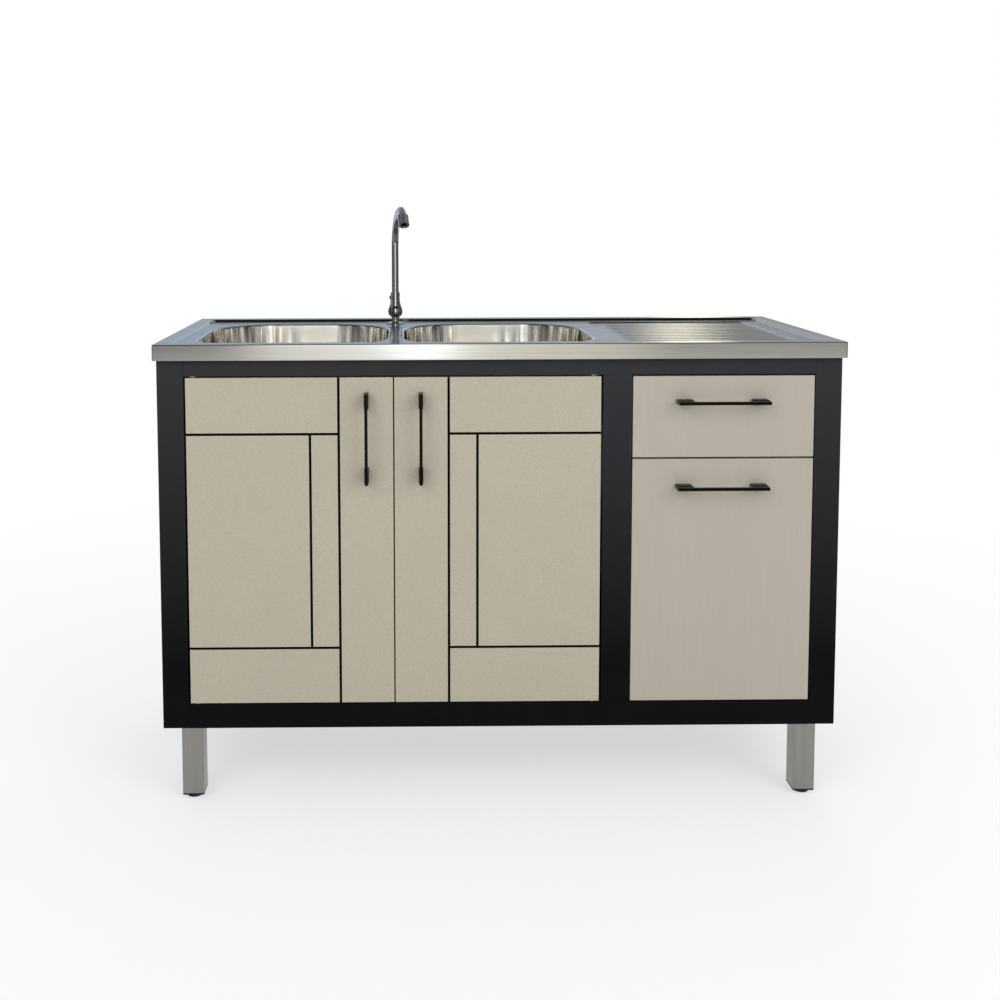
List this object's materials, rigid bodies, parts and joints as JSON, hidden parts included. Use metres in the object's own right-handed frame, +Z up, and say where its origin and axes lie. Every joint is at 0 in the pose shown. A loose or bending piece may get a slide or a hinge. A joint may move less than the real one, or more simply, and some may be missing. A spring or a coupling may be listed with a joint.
{
  "type": "kitchen sink unit",
  "caption": "Free-standing kitchen sink unit: stainless worktop with two bowls, drainer and swan-neck tap on a black-framed cabinet with doors, drawer and pull-out on square legs.",
  "frame": {"origin": "on the floor, in the middle of the width and midway between the handles' fronts and the worktop's back edge", "axes": "+X to the right as seen from the front, +Y to the back, +Z up"},
  "size_m": [1.2, 0.476, 1.0512],
  "materials": {
    "stainless": "brushed",
    "stainless_bowl": "polished",
    "timber": "sawn",
    "frame_black": "satin lacquer",
    "back_board": "matt foil",
    "door_foil": "fine textured foil",
    "front_foil": "faint wood-grain foil",
    "drawer_board": "white melamine",
    "handle_black": "satin",
    "chrome": "polished",
    "brass": "turned",
    "leg_steel": "polished",
    "zinc_steel": "zinc plated",
    "black_plastic": "moulded",
    "white_plastic": "moulded",
    "nylon": "moulded"
  },
  "bodies": {
    "cabinet": {"back_panel": "back_board", "bowl_left": "stainless_bowl", "bowl_right": "stainless_bowl", "cross_pipe": "white_plastic", "door_catches": "black_plastic", "floor_panel": "frame_black", "front_bottom_rail": "frame_black", "front_top_rail": "frame_black", "inner_rails": "frame_black", "leg_back_left": "leg_steel", "leg_back_right": "leg_steel", "leg_blocks": "timber", "leg_bolts": "zinc_steel", "leg_front_left": "leg_steel", "leg_front_right": "leg_steel", "leg_plugs": "black_plastic", "partition": "frame_black", "pivot_bushes": "nylon", "runner_tracks": "zinc_steel", "side_panel_left": "frame_black", "side_panel_right": "frame_black", "stile_left": "frame_black", "stile_middle": "frame_black", "stile_right": "frame_black", "strainer_left": "stainless_bowl", "strainer_right": "stainless_bowl", "tap_body": "chrome", "tap_flange": "chrome", "tap_nut": "brass", "waste_elbow": "white_plastic", "waste_nuts": "white_plastic", "waste_tee": "white_plastic", "waste_trap": "white_plastic", "worktop_battens": "timber", "worktop_sheet": "stainless"},
    "door_left": {"door_left": "door_foil", "door_handle_left": "handle_black", "door_fixings_left": "zinc_steel"},
    "door_right": {"door_right": "door_foil", "door_handle_right": "handle_black", "door_fixings_right": "zinc_steel"},
    "drawer": {"drawer_front": "front_foil", "drawer_box": "drawer_board", "drawer_slides": "zinc_steel", "drawer_handle": "handle_black", "drawer_screws": "zinc_steel"},
    "pullout": {"pullout_front": "front_foil", "pullout_box": "drawer_board", "pullout_slides": "zinc_steel", "pullout_handle": "handle_black", "pullout_screws": "zinc_steel"},
    "spout": {"tap_spout": "chrome", "tap_aerator": "chrome"},
    "lever": {"tap_lever": "chrome"},
    "basket_left": {"strainer_basket_left": "stainless_bowl"},
    "basket_right": {"strainer_basket_right": "stainless_bowl"},
    "foot_front_left": {"foot_front_left": "black_plastic"},
    "foot_front_right": {"foot_front_right": "black_plastic"},
    "foot_back_left": {"foot_back_left": "black_plastic"},
    "foot_back_right": {"foot_back_right": "black_plastic"}
  },
  "joints": [
    {"name": "door_left_hinge", "type": "hinge", "parent": "cabinet", "child": "door_left", "pos_m": [-0.5335, -0.201, 0.1756], "axis": [0, 0, -1], "range_deg": [0, 90]},
    {"name": "door_right_hinge", "type": "hinge", "parent": "cabinet", "child": "door_right", "pos_m": [0.164, -0.201, 0.1756], "axis": [0, 0, 1], "range_deg": [0, 90]},
    {"name": "drawer_slide", "type": "slide", "parent": "cabinet", "child": "drawer", "axis": [0, -1, 0], "range_m": [0, 0.26]},
    {"name": "pullout_slide", "type": "slide", "parent": "cabinet", "child": "pullout", "axis": [0, -1, 0], "range_m": [0, 0.26]},
    {"name": "spout_swivel", "type": "hinge", "parent": "cabinet", "child": "spout", "pos_m": [-0.1856, 0.176, 0.865], "axis": [0, 0, 1], "continuous": true},
    {"name": "lever_turn", "type": "hinge", "parent": "cabinet", "child": "lever", "pos_m": [-0.19215, 0.16195, 0.837], "axis": [-0.4226, -0.9063, 0], "range_deg": [0, 90]},
    {"name": "basket_left_lift", "type": "slide", "parent": "cabinet", "child": "basket_left", "axis": [0, 0, 1], "range_m": [0, 0.2]},
    {"name": "basket_right_lift", "type": "slide", "parent": "cabinet", "child": "basket_right", "axis": [0, 0, 1], "range_m": [0, 0.2]},
    {"name": "foot_front_left_turn", "type": "hinge", "parent": "cabinet", "child": "foot_front_left", "pos_m": [-0.5445, -0.189, 0.007], "axis": [0, 0, 1], "continuous": true},
    {"name": "foot_front_right_turn", "type": "hinge", "parent": "cabinet", "child": "foot_front_right", "pos_m": [0.5445, -0.189, 0.007], "axis": [0, 0, 1], "continuous": true},
    {"name": "foot_back_left_turn", "type": "hinge", "parent": "cabinet", "child": "foot_back_left", "pos_m": [-0.5445, 0.214, 0.007], "axis": [0, 0, 1], "continuous": true},
    {"name": "foot_back_right_turn", "type": "hinge", "parent": "cabinet", "child": "foot_back_right", "pos_m": [0.5445, 0.214, 0.007], "axis": [0, 0, 1], "continuous": true}
  ]
}
